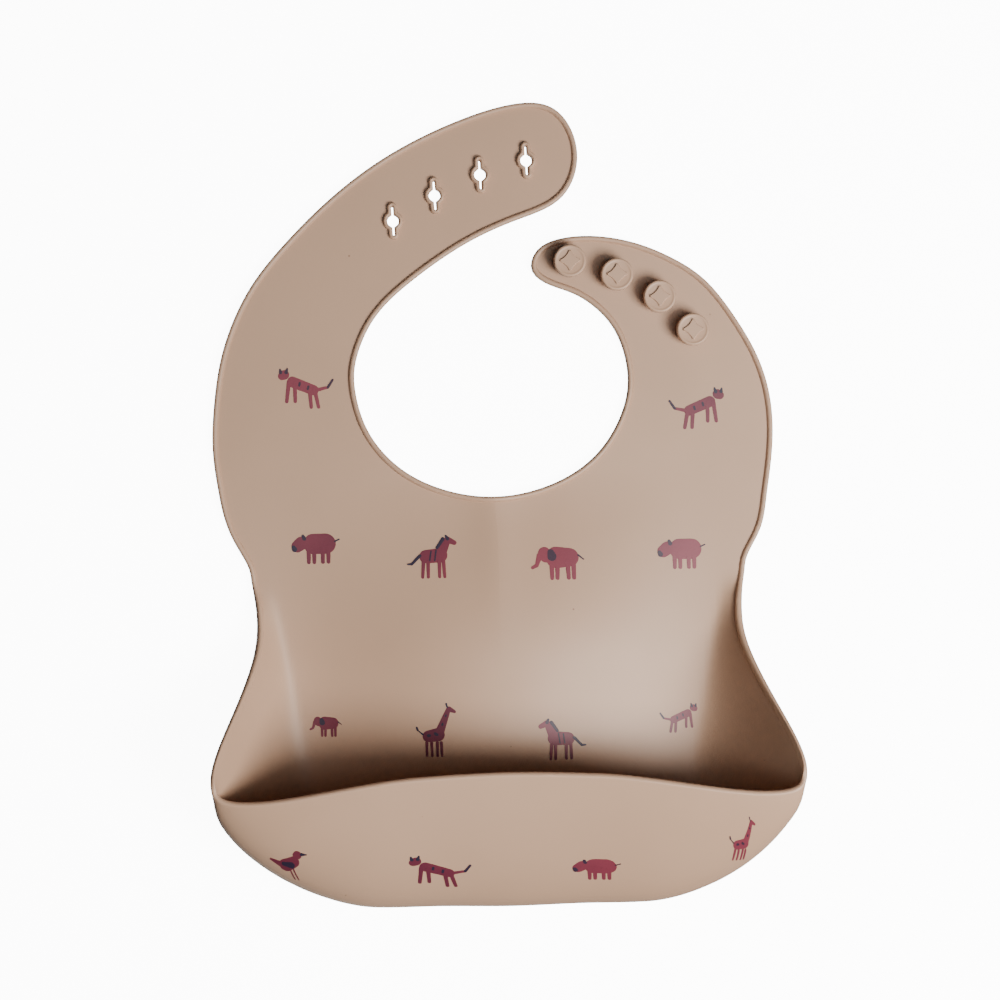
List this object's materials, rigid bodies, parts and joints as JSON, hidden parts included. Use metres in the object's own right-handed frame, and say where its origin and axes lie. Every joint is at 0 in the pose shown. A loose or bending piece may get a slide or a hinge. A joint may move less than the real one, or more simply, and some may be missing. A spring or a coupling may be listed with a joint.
{
  "type": "silicone bib",
  "caption": "Flexible moulded bib for a small child, with a neck opening, an open catch pocket at the bottom and two straps joined by studs and buttonholes.",
  "frame": {"origin": "middle of the bib's length and width, on the flat back that it lies on", "axes": "+Y from the pocket to the neck straps, +X to the stud strap's side, +Z out of the front"},
  "size_m": [0.2212, 0.3142, 0.0506],
  "materials": {
    "silicone": "matte, soft-touch moulded silicone"
  },
  "bodies": {
    "lower_panel": {"panel_lower": "silicone", "pocket_corner_left": "silicone", "pocket_corner_right": "silicone", "pocket_gusset_left": "silicone", "pocket_gusset_right": "silicone"},
    "pocket_front": {"pocket_front": "silicone"},
    "fold_strip": {"panel_fold_strip": "silicone"},
    "upper_panel": {"panel_upper": "silicone"},
    "long_strap_root": {"long_strap_root": "silicone"},
    "long_strap_middle": {"long_strap_middle": "silicone", "buttonhole_rim_1": "silicone", "buttonhole_rim_2": "silicone"},
    "long_strap_tip": {"long_strap_tip": "silicone", "buttonhole_rim_3": "silicone", "buttonhole_rim_4": "silicone"},
    "short_strap_root": {"short_strap_root": "silicone"},
    "short_strap_tip": {"short_strap_tip": "silicone", "stud_1": "silicone", "stud_2": "silicone", "stud_3": "silicone", "stud_4": "silicone"}
  },
  "joints": [
    {"name": "panel_fold_lower", "type": "hinge", "parent": "lower_panel", "child": "fold_strip", "pos_m": [0, -0.0156, 0.0015], "axis": [1, 0, 0], "range_deg": [-60, 60], "stiffness_Nm_per_rad": 0.03},
    {"name": "panel_fold_upper", "type": "hinge", "parent": "fold_strip", "child": "upper_panel", "pos_m": [0, -0.0036, 0.0015], "axis": [1, 0, 0], "range_deg": [-60, 60], "stiffness_Nm_per_rad": 0.03},
    {"name": "long_strap_root_flex", "type": "hinge", "parent": "upper_panel", "child": "long_strap_root", "pos_m": [-0.076, 0.0204, 0.0015], "axis": [-1, 0, 0], "range_deg": [-60, 60], "stiffness_Nm_per_rad": 0.008},
    {"name": "long_strap_middle_flex", "type": "hinge", "parent": "long_strap_root", "child": "long_strap_middle", "pos_m": [-0.0615, 0.0909, 0.0015], "axis": [-0.788, 0.6157, 0], "range_deg": [-60, 60], "stiffness_Nm_per_rad": 0.006},
    {"name": "long_strap_tip_flex", "type": "hinge", "parent": "long_strap_middle", "child": "long_strap_tip", "pos_m": [-0.0115, 0.1257, 0.0015], "axis": [-0.4163, 0.9092, 0], "range_deg": [-60, 60], "stiffness_Nm_per_rad": 0.006},
    {"name": "short_strap_root_flex", "type": "hinge", "parent": "upper_panel", "child": "short_strap_root", "pos_m": [0.076, 0.0204, 0.0015], "axis": [-1, 0, 0], "range_deg": [-60, 60], "stiffness_Nm_per_rad": 0.008},
    {"name": "short_strap_tip_flex", "type": "hinge", "parent": "short_strap_root", "child": "short_strap_tip", "pos_m": [0.08, 0.0474, 0.0015], "axis": [-1, 0, 0], "range_deg": [-60, 60], "stiffness_Nm_per_rad": 0.006},
    {"name": "pocket_press", "type": "hinge", "parent": "lower_panel", "child": "pocket_front", "pos_m": [0, -0.14245, 0.002], "axis": [-1, 0, 0], "range_deg": [0, 35], "stiffness_Nm_per_rad": 0.3}
  ],
  "couplings": [
    {"joint": "panel_fold_upper", "follows": "panel_fold_lower", "ratio": 1}
  ]
}
